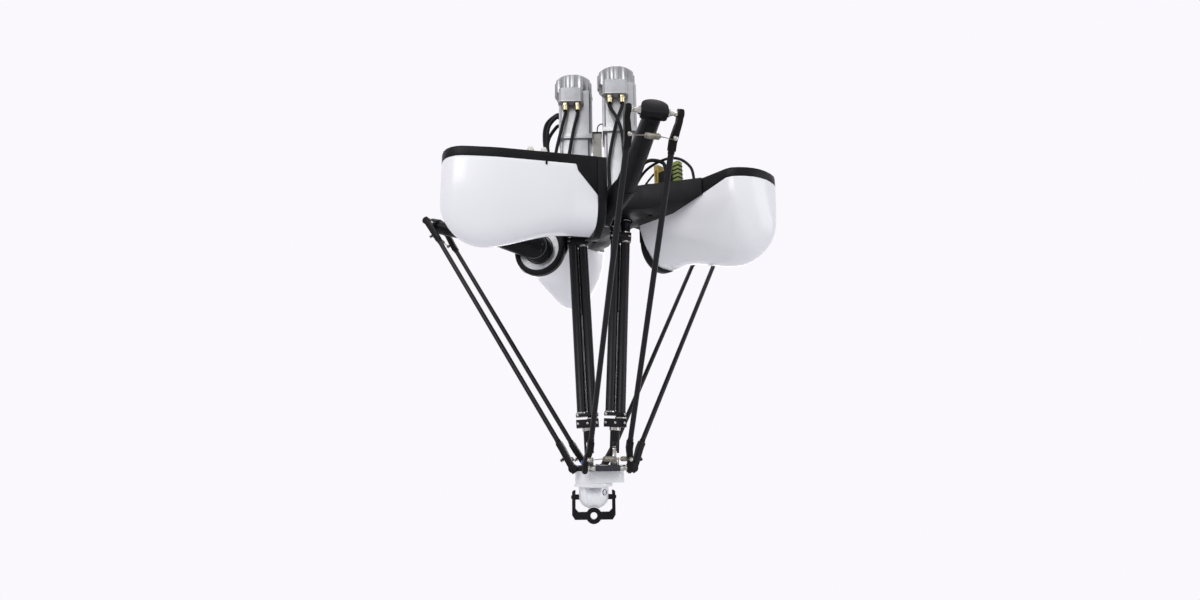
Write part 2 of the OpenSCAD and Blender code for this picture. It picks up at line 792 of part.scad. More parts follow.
// Input shaft on the platform: its tongue sits between the fork's cheeks
module wrist_input(side) {
    color([0.55, 0.55, 0.57])
        translate([side * shaft_foot_r * sin(60), -side * shaft_foot_r * cos(60), 0])
            rotate([0, 0, view_turn])
                difference() {
                    union() {
                        translate([0, 0, input_foot - 12]) cylinder(h = 14, d = 16);
                        translate([0, 0, input_foot + fit]) cylinder(h = 20, d = 24);
                        translate([-tongue_t / 2, -8.5, input_foot + 20]) cube([tongue_t, 17, foot_z - input_foot - 20]);
                        translate([0, 0, foot_z]) x_rod(-tongue_t / 2, tongue_t / 2, 17);
                    }
                    translate([0, 0, foot_z]) x_rod(-tongue_t, tongue_t, cross_d);
                }
}

// ---- Platform and wrist ----
module platform_plate() {
    color([0.12, 0.12, 0.14])
        translate([0, 0, plat_z - plate_t / 2])
            difference() {
                linear_extrude(plate_t)
                    union() {
                        circle(r = 56, $fn = 96);
                        for (i = [0:2])
                            rotate(azimuth[i])
                                translate([-plate_block_w / 2, -platform_r - 13]) square([plate_block_w, platform_r]);
                    }
                for (side = [-1, 1])
                    translate([side * shaft_foot_r * sin(60), -side * shaft_foot_r * cos(60), -1])
                        cylinder(h = plate_t + 2, d = 16.2);
            }
}

// Housing: a round gear case with a side lobe under the right-hand shaft
lobe_turn = acos((wrist_r - lobe_r) / (wrist_off + shaft_foot_r));
module wrist_housing() {
    lobe = wrist_off + shaft_foot_r;
    color("white")
        translate([wrist_x, wrist_y, 0])
            rotate([0, 0, -30]) {
                translate([0, 0, house_z - wrist_h]) cylinder(h = wrist_h, r = wrist_r, $fn = 96);
                translate([0, 0, house_z - wrist_h]) cylinder(h = 8, r = wrist_r + 2, $fn = 96);
                translate([0, 0, house_z - 30])
                    linear_extrude(30) {
                        translate([lobe, 0]) circle(r = lobe_r, $fn = 64);
                        polygon([for (p = [[0, 1], [1, 1], [1, -1], [0, -1]])
                            [p[0] * lobe + (p[0] > 0 ? lobe_r : wrist_r) * cos(lobe_turn),
                                p[1] * (p[0] > 0 ? lobe_r : wrist_r) * sin(lobe_turn)]]);
                    }
            }
}

module air_fitting() {
    color([0.10, 0.35, 0.80])
        translate([-56 * cos(12), -56 * sin(12), plat_z + plate_t / 2])
            cylinder(h = 12, d = 9);
}

yoke_far = yoke_len + 4;

// Dome with a groove for the boss and a blind seat for each trunnion
module wrist_dome() {
    seat = dome_r - 9;
    color("white")
        at_wrist()
            difference() {
                rotate_extrude($fn = 96)
                    polygon(concat([[0, dome_z], [dome_r, dome_z]],
                        [for (k = [0:12]) [dome_r * cos(7.5 * k), tilt_z - (dome_h - tilt_drop) * sin(7.5 * k)]]));
                translate([0, 0, tilt_z])
                    rotate([0, 90, 0])
                        rotate_extrude($fn = 96) translate([yoke_far, 0]) circle(r = boss_r + 1.5, $fn = 64);
                for (side = [0, 1])
                    mirror([side, 0, 0])
                        translate([0, 0, tilt_z]) x_rod(seat, dome_r + 1, trunnion_d + 2 * fit);
            }
}

module yoke() {
    half = yoke_in / 2 + yoke_t;
    color([0.07, 0.07, 0.08])
        at_wrist()
            translate([0, 0, tilt_z]) {
                rotate([90, 0, 0])
                    translate([0, 0, -yoke_w / 2])
                        difference() {
                            linear_extrude(yoke_w)
                                union() {
                                    difference() {
                                        polygon([[-half, 14], [-half, -yoke_far + 2], [-half + 8, -yoke_far - bar_h / 2],
                                            [half - 8, -yoke_far - bar_h / 2], [half, -yoke_far + 2], [half, 14],
                                            [half - yoke_t / 2, 18], [-half + yoke_t / 2, 18]]);
                                        polygon([[-half + yoke_t, 20], [-half + yoke_t, -yoke_far + bar_h / 2 + 8],
                                            [-half + yoke_t + 8, -yoke_far + bar_h / 2],
                                            [half - yoke_t - 8, -yoke_far + bar_h / 2],
                                            [half - yoke_t, -yoke_far + bar_h / 2 + 8], [half - yoke_t, 20]]);
                                    }
                                    translate([0, -yoke_far]) circle(r = boss_r, $fn = 64);
                                }
                            translate([0, -yoke_far, -1]) cylinder(h = yoke_w + 2, d = tool_hole_d);
                        }
                for (side = [0, 1])
                    mirror([side, 0, 0])
                        x_rod(dome_r - 8, yoke_in / 2 + 1, trunnion_d);
            }
}

base_frame();
shroud(0);  // shroud_a
shroud(1);  // shroud_b
shroud(2);  // shroud_c
cover(0);  // cover_a
cover(1);  // cover_b
cover(2);  // cover_c
arm_drive(0);  // arm_drive_a
arm_drive(1);  // arm_drive_b
arm_drive(2);  // arm_drive_c
wrist_drive(-1);  // wrist_drive_left
wrist_drive(1);  // wrist_drive_right
wrist_motor(-1);  // wrist_motor_left
wrist_motor(1);  // wrist_motor_right
motor_cap(-1);  // motor_cap_left
motor_cap(1);  // motor_cap_right
connector_box(-1);  // connector_box_left
connector_box(1);  // connector_box_right
cable_glands();
junction_box();
vent_cap();
terminal_block();
terminal_clip();
striped_plug();
motor_cables(-1);  // motor_cables_left
motor_cables(1);  // motor_cables_right
cable_bundle();
cable_harness();
upper_arm(0);  // upper_arm_a
upper_arm(1);  // upper_arm_b
upper_arm(2);  // upper_arm_c
arm_studs(0);  // arm_studs_a
arm_studs(1);  // arm_studs_b
arm_studs(2);  // arm_studs_c
rods(0);  // rods_a
rods(1);  // rods_b
rods(2);  // rods_c
rod_ends(0);  // rod_ends_a
rod_ends(1);  // rod_ends_b
rod_ends(2);  // rod_ends_c
springs(0);  // springs_a
springs(1);  // springs_b
springs(2);  // springs_c
platform_studs(0);  // platform_studs_a
platform_studs(1);  // platform_studs_b
platform_studs(2);  // platform_studs_c
joint_boot(-1);  // joint_boot_left
joint_boot(1);  // joint_boot_right
upper_shaft(-1);  // upper_shaft_left
upper_shaft(1);  // upper_shaft_right
lower_shaft(-1);  // lower_shaft_left
lower_shaft(1);  // lower_shaft_right
wrist_input(-1);  // wrist_input_left
wrist_input(1);  // wrist_input_right
platform_plate();
wrist_housing();
air_fitting();
wrist_dome();
yoke();
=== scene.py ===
"""Looks of the hanging delta robot: materials, small parts, lights and camera.

Sizes of pieces and points of routes are in mm.
Joints, camera, lamps, floor and the depth of bumps are in metres.
"""

import json
from math import acos, asin, cos, degrees, pi, radians, sin, sqrt

import bpy
from mathutils import Matrix, Vector


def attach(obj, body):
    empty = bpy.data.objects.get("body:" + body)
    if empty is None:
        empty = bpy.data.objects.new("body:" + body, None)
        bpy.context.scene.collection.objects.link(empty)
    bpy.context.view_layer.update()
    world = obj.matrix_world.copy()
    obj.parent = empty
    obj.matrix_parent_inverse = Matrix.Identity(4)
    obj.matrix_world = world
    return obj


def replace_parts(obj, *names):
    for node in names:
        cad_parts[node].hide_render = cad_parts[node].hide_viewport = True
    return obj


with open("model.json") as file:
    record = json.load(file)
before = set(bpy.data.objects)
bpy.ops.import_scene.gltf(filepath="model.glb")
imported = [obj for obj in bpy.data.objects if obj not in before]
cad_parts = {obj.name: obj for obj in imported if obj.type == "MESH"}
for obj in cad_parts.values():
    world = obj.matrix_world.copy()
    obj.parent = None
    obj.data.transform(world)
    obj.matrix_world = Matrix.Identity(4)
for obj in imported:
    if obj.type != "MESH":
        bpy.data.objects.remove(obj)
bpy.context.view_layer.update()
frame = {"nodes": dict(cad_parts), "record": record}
node = frame["nodes"]
behaviour = frame["record"]["behaviour"]
joint = {j["name"]: j for j in behaviour["joints"]}
body_of = {n: b for b, members in behaviour["bodies"].items() for n in members}
slot_of = {s["node"]: s["material_slot"] for s in frame["record"]["subparts"]}

MM = 0.001
ARMS = ("a", "b", "c")
ARM_TURN = {"a": 0.0, "b": -120.0, "c": 120.0}
SIDES = ("left", "right")
VIEW_TURN = -13.0  # turn about Z of the wrist drives, the shafts and the wrist
LEAN_TURN = -30  # turn about Z of the plane the shafts lean in
WELD = 2e-6  # corners of a CAD piece closer than this are one, in metres
LATHE_WELD = 1e-6  # the same for a lathed piece

PLATFORM_R = 61.6  # lower ball centres from the platform's axis
ROD_HALF = 52  # half the distance between the two rods of a pair
TUBE_OFF = 14.5  # shaft tubes from the middle of their pair
LOWER_JOINT_RISE = 48  # lower shaft joints above the platform's middle
GLAND_X = (-30, 7)
GLAND_Y = -64
ROOT_Z = -18  # depth at which cables end inside the deck


def turn(angle, axis):
    return Matrix.Rotation(radians(angle), 4, axis)


def shift(x, y, z):
    return Matrix.Translation((x, y, z))


def mm(*values):
    return [v * MM for v in values]


def shift_mm(x, y, z):
    return shift(*mm(x, y, z))


def place_of(name):
    """Joint position at rest."""
    return Vector(joint[name]["pos_m"])


# ---- Frames of the moving pieces, from the joints ----
hub_at = place_of("lift")
tip_at = place_of("rods_a_swing")
tilt_at = place_of("yoke_tilt")
plat_z = place_of("input_left_spin").z

arm_len = (tip_at - hub_at).length
arm_raise = degrees(asin((tip_at.z - hub_at.z) / arm_len))
rod_reach = -tip_at.y - PLATFORM_R * MM
rod_len = sqrt(rod_reach ** 2 + (tip_at.z - plat_z) ** 2)
rod_lean = degrees(asin(rod_reach / rod_len))
wrist_frame = shift(*tilt_at) @ turn(VIEW_TURN, "Z")


def arm_base(arm):
    return turn(ARM_TURN[arm], "Z")


def arm_frame(arm):
    """Origin at the shoulder, the arm along -Y."""
    return arm_base(arm) @ shift(*hub_at) @ turn(-arm_raise, "X")


def rod_frame(arm):
    """Origin between the two upper balls, the rods along -Z."""
    return arm_base(arm) @ shift(*tip_at) @ turn(rod_lean, "X")


def drive_frame(side):
    at = place_of(f"shaft_{side}_spin")
    return shift(at.x, at.y, 0) @ turn(VIEW_TURN, "Z")


def shaft_frame(side):
    """Origin at the upper joint, the shaft along -Z."""
    at = place_of(f"shaft_{side}_spin")
    up = Vector(joint[f"shaft_{side}_spin"]["axis"])
    lean = degrees(acos(up.z)) * (1 if side == "right" else -1)
    return shift(*at) @ turn(LEAN_TURN, "Z") @ turn(lean, "Y") @ turn(VIEW_TURN - LEAN_TURN, "Z")


def shaft_length(side):
    """Upper joint to lower joint at rest, in mm."""
    lower = place_of(f"input_{side}_spin")
    lower.z = plat_z + LOWER_JOINT_RISE * MM
    return (place_of(f"shaft_{side}_spin") - lower).length / MM


# ---- Camera, lights and floor ----
CAMERA_AT = (-0.40421, -1.74049, -0.76468)
CAMERA_TURN = (103.950, 0.732, -12.919)
CAMERA_LENS = 19.166
CAMERA_SENSOR = 36
CAMERA_CLIP = (0.05, 60)

BACKDROP = (0.956, 0.940, 0.985, 1)
AMBIENT = (0.93, 0.95, 1.0, 1)
AMBIENT_STRENGTH = 0.46
FLOOR_SHADE = (0.88, 0.87, 0.90, 1)
FLOOR_Z = -1.7
FLOOR_R = 20
FLOOR_FADE = (1.3, 2.6)  # distances between which the floor turns into the backdrop

LAMP_AIM = Vector((0, 0, -0.35))
WHITE = (1, 1, 1)
LAMPS = (
    # name, place, size, watts, tint
    ("key", (-2.4, -3.0, 1.9), (3.0, 2.4), 92, WHITE),
    ("fill", (3.2, -2.4, 0.2), (2.6, 2.6), 34, (0.97, 0.98, 1.0)),
    ("top", (0.2, 0.4, 3.0), (3.2, 3.2), 50, WHITE),
    ("back", (1.2, 3.2, 0.6), (2.6, 2.2), 30, WHITE))


def set_camera():
    data = bpy.data.cameras.new("camera")
    camera = bpy.data.objects.new("camera", data)
    bpy.context.collection.objects.link(camera)
    camera.location = CAMERA_AT
    camera.rotation_euler = [radians(angle) for angle in CAMERA_TURN]
    data.lens = CAMERA_LENS
    data.sensor_width = CAMERA_SENSOR
    data.clip_start, data.clip_end = CAMERA_CLIP
    bpy.context.scene.camera = camera


def set_lights():
    """Soft rectangular lamps, all aimed at the middle of the robot."""
    for name, at, size, watts, tint in LAMPS:
        data = bpy.data.lights.new(name, "AREA")
        data.shape = "RECTANGLE"
        data.size, data.size_y = size
        data.energy = watts
        data.color = tint
        lamp = bpy.data.objects.new(name, data)
        bpy.context.collection.objects.link(lamp)
        lamp.location = at
        lamp.rotation_euler = (LAMP_AIM - Vector(at)).to_track_quat("-Z", "Y").to_euler()


def feed(tree, made, inputs):
    """Fills a node's inputs: a socket is linked, anything else is set as the value."""
    for key, value in inputs.items():
        if isinstance(value, bpy.types.NodeSocket):
            tree.links.new(value, made.inputs[key])
        else:
            made.inputs[key].default_value = value


def add_node(tree, kind, inputs, **settings):
    made = tree.nodes.new(kind)
    for key, value in settings.items():
        setattr(made, key, value)
    feed(tree, made, inputs)
    return made


def seen_directly(tree):
    """1 on camera, mirror and glass rays, 0 on the rays that light the object."""
    rays = add_node(tree, "ShaderNodeLightPath", {}).outputs
    first = add_node(tree, "ShaderNodeMath",
                     {0: rays["Is Camera Ray"], 1: rays["Is Glossy Ray"]}, operation="ADD")
    both = add_node(tree, "ShaderNodeMath",
                    {0: first.outputs[0], 1: rays["Is Transmission Ray"]},
                    operation="ADD", use_clamp=True)
    return both.outputs[0]


def set_world():
    """Soft light from all round, and the backdrop's white wherever it is seen."""
    world = bpy.data.worlds.new("studio")
    bpy.context.scene.world = world
    world.use_nodes = True
    tree = world.node_tree
    tree.nodes.clear()
    ambient = add_node(tree, "ShaderNodeBackground",
                       {"Color": AMBIENT, "Strength": AMBIENT_STRENGTH})
    shown = add_node(tree, "ShaderNodeBackground", {"Color": BACKDROP})
    mix = add_node(tree, "ShaderNodeMixShader",
                   {0: seen_directly(tree), 1: ambient.outputs[0], 2: shown.outputs[0]})
    add_node(tree, "ShaderNodeOutputWorld", {0: mix.outputs[0]})


def make_floor():
    """Pale floor: plain matt near the robot, the backdrop's white further out."""
    bpy.ops.mesh.primitive_circle_add(vertices=96, radius=FLOOR_R, fill_type="NGON",
                                      location=(0, 0, FLOOR_Z))
    floor = bpy.context.object
    floor.name = "studio_floor"
    finish = bpy.data.materials.new("studio_floor")
    finish.use_nodes = True
    tree = finish.node_tree
    tree.nodes.clear()
    matt = add_node(tree, "ShaderNodeBsdfDiffuse", {"Color": FLOOR_SHADE})
    glow = add_node(tree, "ShaderNodeEmission", {"Color": BACKDROP})
    coords = add_node(tree, "ShaderNodeTexCoord", {})
    far = add_node(tree, "ShaderNodeVectorMath", {0: coords.outputs["Object"]},
                   operation="LENGTH")
    fade = add_node(tree, "ShaderNodeMapRange",
                    {"From Min": FLOOR_FADE[0], "From Max": FLOOR_FADE[1],
                     "Value": far.outputs["Value"]})
    part = add_node(tree, "ShaderNodeMath", {0: fade.outputs[0], 1: seen_directly(tree)},
                    operation="MULTIPLY")
    mix = add_node(tree, "ShaderNodeMixShader",
                   {0: part.outputs[0], 1: matt.outputs[0], 2: glow.outputs[0]})
    add_node(tree, "ShaderNodeOutputMaterial", {0: mix.outputs[0]})
    floor.data.materials.append(finish)


# ---- Finishes ----
def feed_shader(finish, inputs):
    feed(finish.node_tree, finish.node_tree.nodes["Principled BSDF"], inputs)


def new_finish(name, color, roughness, metallic=0.0, specular=0.5, coat=0.0, coat_roughness=0.1):
    finish = bpy.data.materials.new(name)
    finish.use_nodes = True
    feed_shader(finish, {
        "Base Color": (*color, 1), "Roughness": roughness, "Metallic": metallic,
        "Specular IOR Level": specular, "Coat Weight": coat, "Coat Roughness": coat_roughness})
    return finish


def object_coords(finish, scale=(1, 1, 1), rotation=(0, 0, 0)):
    tree = finish.node_tree
    coords = add_node(tree, "ShaderNodeTexCoord", {})
    mapping = add_node(tree, "ShaderNodeMapping",
                       {"Scale": scale, "Rotation": rotation, "Vector": coords.outputs["Object"]})
    return mapping.outputs["Vector"]


def add_noise(finish, vector, scale, detail=3.0):
    noise = add_node(finish.node_tree, "ShaderNodeTexNoise",
                     {"Scale": scale, "Detail": detail, "Roughness": 0.55, "Vector": vector})
    return noise.outputs["Fac"]


def tint_by(finish, value, dark, light, low=0.35, high=0.65):
    """Base colour between two near shades."""
    ramp = add_node(finish.node_tree, "ShaderNodeValToRGB", {"Fac": value})
    for stop, position, shade in zip(ramp.color_ramp.elements, (low, high), (dark, light)):
        stop.position = position
        stop.color = (*shade, 1)
    feed_shader(finish, {"Base Color": ramp.outputs["Color"]})


def rough_by(finish, value, low, high):
    spread = add_node(finish.node_tree, "ShaderNodeMapRange",
                      {"From Min": 0.3, "From Max": 0.7, "To Min": low, "To Max": high,
                       "Value": value})
    feed_shader(finish, {"Roughness": spread.outputs["Result"]})


def bump_by(finish, value, depth, strength):
    bump = add_node(finish.node_tree, "ShaderNodeBump",
                    {"Distance": depth, "Strength": strength, "Height": value})
    feed_shader(finish, {"Normal": bump.outputs["Normal"]})


def grained(finish, dark, light, rough, patch, gloss, grain, depth, strength):
    """Near shades in patches, gloss that drifts and a fine bump.

    Patch and grain are a noise's scale and detail, gloss only its scale.
    """
    place = object_coords(finish)
    tint_by(finish, add_noise(finish, place, *patch), dark, light)
    rough_by(finish, add_noise(finish, place, gloss), *rough)
    bump_by(finish, add_noise(finish, place, *grain), depth, strength)
    return finish


def satin_black(name, dark, light, rough=(0.34, 0.5)):
    """Painted or moulded black with a fine grain and slightly rubbed patches."""
    finish = new_finish(name, dark, roughness=0.42, specular=0.12)
    return grained(finish, dark, light, rough, patch=(11, 5), gloss=37, grain=(900, 2),
                   depth=0.00008, strength=0.6)


def cast_metal(name, dark, light, rough=(0.32, 0.46), metallic=0.85):
    """Cast alloy with a slightly coarser grain."""
    finish = new_finish(name, light, roughness=0.4, metallic=metallic)
    return grained(finish, dark, light, rough, patch=(16, 6), gloss=60, grain=(520, 3),
                   depth=0.00015, strength=0.5)


def soft_black(name, dark, light, rough=(0.5, 0.65)):
    """Rubber and cable sheath."""
    finish = new_finish(name, dark, roughness=0.58, specular=0.1)
    return grained(finish, dark, light, rough, patch=(40, 4), gloss=120, grain=(1200, 2),
                   depth=0.00006, strength=0.6)


def painted(name, dark, light, rough=(0.35, 0.5)):
    """Paint or coloured plastic."""
    finish = new_finish(name, light, roughness=0.42)
    return grained(finish, dark, light, rough, patch=(30, 5), gloss=90, grain=(700, 2),
                   depth=0.00006, strength=0.5)


def moulded_shell(name, dark, light):
    """Glossy white moulding: colour and gloss drift very little over it, with a faint bump."""
    finish = new_finish(name, light, roughness=0.26, coat=0.35, coat_roughness=0.12)
    place = object_coords(finish)
    tint_by(finish, add_noise(finish, place, scale=5, detail=1), dark, light, low=0.2, high=0.8)
    rough_by(finish, add_noise(finish, place, scale=9, detail=1), low=0.255, high=0.27)
    bump_by(finish, add_noise(finish, place, scale=160, detail=1), depth=0.00002, strength=0.12)
    return finish


def turned_metal(name, dark, light, rough=(0.14, 0.26)):
    """Bright machined steel with fine tool marks."""
    finish = new_finish(name, light, roughness=0.2, metallic=1.0)
    place = object_coords(finish)
    marks = add_noise(finish, object_coords(finish, scale=(1400, 70, 70)), scale=1, detail=2)
    tint_by(finish, add_noise(finish, place, scale=90), dark, light)
    rough_by(finish, add_noise(finish, place, scale=240), *rough)
    bump_by(finish, marks, depth=0.00003, strength=0.4)
    return finish


def carbon_tube(name, dark, light, lean=(0, 0, 0)):
    """Lacquered carbon tube: a 2 mm twill under clear lacquer."""
    finish = new_finish(name, (0.006, 0.006, 0.008), roughness=0.36, specular=0.14,
                        coat=0.12, coat_roughness=0.16)
    place = object_coords(finish, rotation=lean)
    weave = add_node(finish.node_tree, "ShaderNodeTexWave",
                     {"Scale": 150, "Distortion": 0.6, "Vector": place},
                     wave_type="BANDS", bands_direction="DIAGONAL").outputs["Fac"]
    tint_by(finish, weave, dark, light, low=0.3, high=0.7)
    rough_by(finish, add_noise(finish, place, scale=30), low=0.3, high=0.44)
    bump_by(finish, weave, depth=0.00006, strength=0.4)
    return finish


CARBON_SHADES = ((0.004, 0.004, 0.005), (0.010, 0.010, 0.012))
FINISHES = (
    # kind, name, darker and lighter shade, what differs from the kind
    (satin_black, "frame_paint", (0.005, 0.005, 0.006), (0.009, 0.009, 0.010), {}),
    (moulded_shell, "white_shell", (0.822, 0.817, 0.842), (0.83, 0.825, 0.85), {}),
    (satin_black, "black_shell", (0.004, 0.004, 0.005), (0.007, 0.007, 0.008), {}),
    (soft_black, "boot_rubber", (0.009, 0.009, 0.010), (0.014, 0.014, 0.015), {}),
    (satin_black, "arm_black", (0.004, 0.004, 0.005), (0.008, 0.008, 0.009),
     {"rough": (0.3, 0.42)}),
    (satin_black, "rod_end_black", (0.004, 0.004, 0.004), (0.009, 0.008, 0.008), {}),
    (carbon_tube, "carbon_tube", *CARBON_SHADES, {}),
    (turned_metal, "stud_steel", (0.34, 0.33, 0.31), (0.48, 0.47, 0.44), {}),
    (turned_metal, "spring_steel", (0.20, 0.18, 0.15), (0.32, 0.30, 0.26),
     {"rough": (0.3, 0.42)}),
    (cast_metal, "cast_alloy", (0.31, 0.315, 0.325), (0.40, 0.405, 0.415), {}),
    (cast_metal, "bright_cap", (0.26, 0.265, 0.27), (0.34, 0.345, 0.35),
     {"rough": (0.28, 0.38)}),
    (turned_metal, "gland_brass", (0.50, 0.42, 0.25), (0.68, 0.60, 0.40), {}),
    (painted, "box_grey", (0.40, 0.39, 0.35), (0.52, 0.50, 0.45), {}),
    (painted, "vent_plastic", (0.62, 0.62, 0.54), (0.74, 0.74, 0.66), {}),
    (satin_black, "terminal_black", (0.008, 0.008, 0.009), (0.013, 0.013, 0.014), {}),
    (painted, "clip_yellow", (0.36, 0.26, 0.06), (0.48, 0.36, 0.10), {}),
    (painted, "plug_green", (0.14, 0.20, 0.03), (0.22, 0.28, 0.05), {}),
    (soft_black, "cable_black", (0.007, 0.007, 0.008), (0.012, 0.012, 0.013),
     {"rough": (0.38, 0.5)}),
    (cast_metal, "plate_anodised", (0.020, 0.020, 0.026), (0.034, 0.034, 0.042),
     {"metallic": 0.5}),
    (painted, "fitting_blue", (0.01, 0.15, 0.60), (0.02, 0.24, 0.82), {"rough": (0.2, 0.3)}))
finishes = {name: kind(name, dark, light, **extra) for kind, name, dark, light, extra in FINISHES}


def dress_nodes():
    """Every carried-over node takes the finish of its own slot."""
    for name, piece in node.items():
        piece.data.materials.clear()
        piece.data.materials.append(finishes[slot_of[name]])


# ---- Making pieces ----
def pick(*pieces):
    """Only these pieces are selected, the first of them active."""
    bpy.ops.object.select_all(action="DESELECT")
    for piece in pieces:
        piece.select_set(True)
    if pieces:
        bpy.context.view_layer.objects.active = pieces[0]


def settle(piece, place, finish, body, smooth=35):
    """Moves a finished piece to its place in its mesh, dresses it and fixes it to its body."""
    pick(piece)
    bpy.ops.object.transform_apply(location=True, rotation=True, scale=True)
    bpy.ops.object.shade_smooth_by_angle(angle=radians(smooth))
    piece.data.transform(place)
    piece.data.materials.clear()
    piece.data.materials.append(finishes[finish])
    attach(piece, body)
    return piece


def apply_modifier(piece, kind, **settings):
    bpy.context.view_layer.objects.active = piece
    modifier = piece.modifiers.new(kind.lower(), kind)
    for key, value in settings.items():
        setattr(modifier, key, value)
    bpy.ops.object.modifier_apply(modifier=modifier.name)


def round_edges(piece, width, segments=2, angle=35):
    apply_modifier(piece, "BEVEL", width=width * MM, segments=segments, limit_method="ANGLE",
                   angle_limit=radians(angle), harden_normals=False)


def block(name, place, finish, body, low, high, edge=0.0):
    """Box between two corners, with its edges rounded if an edge is given."""
    pick()
    low, high = mm(*low), mm(*high)
    bpy.ops.mesh.primitive_cube_add(
        size=1, location=[(l + h) / 2 for l, h in zip(low, high)],
        scale=[h - l for l, h in zip(low, high)])
    piece = bpy.context.object
    piece.name = name
    bpy.ops.object.transform_apply(location=True, rotation=True, scale=True)
    if edge:
        round_edges(piece, edge)
    return settle(piece, place, finish, body)


def turned(name, place, finish, body, profile, steps=32, smooth=35):
    """Lathed piece about Z: profile is a closed or axis-to-axis line of (radius, height)."""
    pick()
    line = [Vector(mm(radius, 0, height)) for radius, height in profile]
    bpy.ops.mesh.primitive_plane_add(size=MM)
    piece = bpy.context.object
    piece.name = name
    bpy.ops.object.mode_set(mode="EDIT")
    bpy.ops.mesh.merge(type="CENTER")
    bpy.ops.transform.translate(value=line[0])
    for at, then in zip(line, line[1:]):
        bpy.ops.mesh.extrude_region_move(TRANSFORM_OT_translate={"value": then - at})
    bpy.ops.mesh.select_all(action="SELECT")
    bpy.ops.mesh.spin(steps=steps, angle=2 * pi, center=(0, 0, 0), axis=(0, 0, 1))
    bpy.ops.mesh.select_all(action="SELECT")
    bpy.ops.mesh.remove_doubles(threshold=LATHE_WELD)
    bpy.ops.mesh.normals_make_consistent(inside=False)
    bpy.ops.object.mode_set(mode="OBJECT")
    return settle(piece, place, finish, body, smooth)


def ring(name, place, finish, body, inner, outer, low, high, edge, steps=40):
    """Plain ring about Z with chamfered rims."""
    line = [(inner, low), (outer - edge, low), (outer, low + edge), (outer, high - edge),
            (outer - edge, high), (inner, high), (inner, low)]
    return turned(name, place, finish, body, line, steps)


def cylinder(sides, radius, depth, z):
    """Plain cylinder about Z, its middle at height z."""
    pick()
    bpy.ops.mesh.primitive_cylinder_add(vertices=sides, radius=radius * MM, depth=depth * MM,
                                        location=(0, 0, z * MM))
    return bpy.context.object


def socket_screw(name, place, finish, body, head, height):
    """Cap screw: chamfered head with a hexagon socket."""
    chamfer, socket_r = 0.06 * head, 0.29 * head
    piece = cylinder(24, head / 2, height, height / 2)
    piece.name = name
    bpy.ops.object.transform_apply(location=True, rotation=True, scale=True)
    round_edges(piece, chamfer, angle=40)
    socket = cylinder(6, socket_r, height, height)
    apply_modifier(piece, "BOOLEAN", operation="DIFFERENCE", object=socket, solver="EXACT")
    bpy.data.objects.remove(socket)
    return settle(piece, place, finish, body, smooth=30)


def round_screw(name, place, finish, body, head, height):
    """Low domed screw head."""
    rise = [radians(a) for a in (25, 50, 70, 85)]
    line = [(0, height), *[(head / 2 * sin(a), height * cos(a)) for a in rise],
            (head / 2, 0), (0, 0)]
    return turned(name, place, finish, body, line, steps=20)


def wire(name, place, finish, body, points, radius, resolution):
    """Round wire or cable through points."""
    line = bpy.data.curves.new(name, "CURVE")
    line.dimensions = "3D"
    line.bevel_depth = radius * MM
    line.bevel_resolution = resolution
    line.use_fill_caps = True
    spline = line.splines.new("POLY")
    spline.points.add(len(points) - 1)
    for point, at in zip(spline.points, points):
        point.co = (*mm(*at), 1)
    piece = bpy.data.objects.new(name, line)
    bpy.context.collection.objects.link(piece)
    pick(piece)
    bpy.ops.object.convert(target="MESH")
    return settle(bpy.context.object, place, finish, body, smooth=60)


def smooth_line(route):
    """Smooth curve through a route's points."""
    steps = 8
    p = [Vector(q) for q in route]
    line = []
    for i in range(len(p) - 1):
        a, b, c, d = p[max(i - 1, 0)], p[i], p[i + 1], p[min(i + 2, len(p) - 1)]
        for k in range(steps):
            t = k / steps
            line.append(0.5 * (2 * b + (c - a) * t + (2 * a - 5 * b + 4 * c - d) * t * t
                               + (3 * b - a - 3 * c + d) * t ** 3))
    return line + [p[-1]]


def joined(name, parts, body):
    """Several parts of one finish as one piece."""
    for part in parts:
        part.parent = None
        part.matrix_world = Matrix.Identity(4)
    pick(*parts)
    bpy.ops.object.join()
    whole = bpy.context.object
    whole.name = name
    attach(whole, body)
    return whole


def open_copy(name, source):
    """The CAD piece again, loose from its body, welded, and open in edit mode, all selected."""
    piece = node[source].copy()
    piece.data = node[source].data.copy()
    piece.name = name
    bpy.context.collection.objects.link(piece)
    for key in list(piece.keys()):
        del piece[key]
    piece.parent = None
    piece.matrix_world = Matrix.Identity(4)
    pick(piece)
    bpy.ops.object.mode_set(mode="EDIT")
    bpy.ops.mesh.select_all(action="SELECT")
    bpy.ops.mesh.remove_doubles(threshold=WELD)
    return piece


def fine_copy(name, source, edge, segments=2, angle=30):
    """The CAD piece again with its edges rounded off."""
    piece = open_copy(name, source)
    bpy.ops.mesh.dissolve_limited(angle_limit=radians(1))
    bpy.ops.object.mode_set(mode="OBJECT")
    round_edges(piece, edge, segments, angle)
    settle(piece, Matrix.Identity(4), slot_of[source], body_of[source], smooth=32)
    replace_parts(piece, source)


# ---- Belly covers and their black shells ----
def make_cover(arm):
    """The moulded cover: the lofted shell made smooth, with its rim kept sharp."""
    piece = open_copy(f"belly_cover_{arm}", f"cover_{arm}")
    bpy.ops.mesh.tris_convert_to_quads(face_threshold=radians(50), shape_threshold=radians(60))
    bpy.ops.mesh.select_all(action="DESELECT")
    bpy.ops.mesh.edges_select_sharp(sharpness=radians(42))
    bpy.ops.transform.edge_crease(value=0.9)
    bpy.ops.object.mode_set(mode="OBJECT")
    apply_modifier(piece, "SUBSURF", levels=2, render_levels=2)
    settle(piece, Matrix.Identity(4), "white_shell", "base", smooth=50)
    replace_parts(piece, f"cover_{arm}")


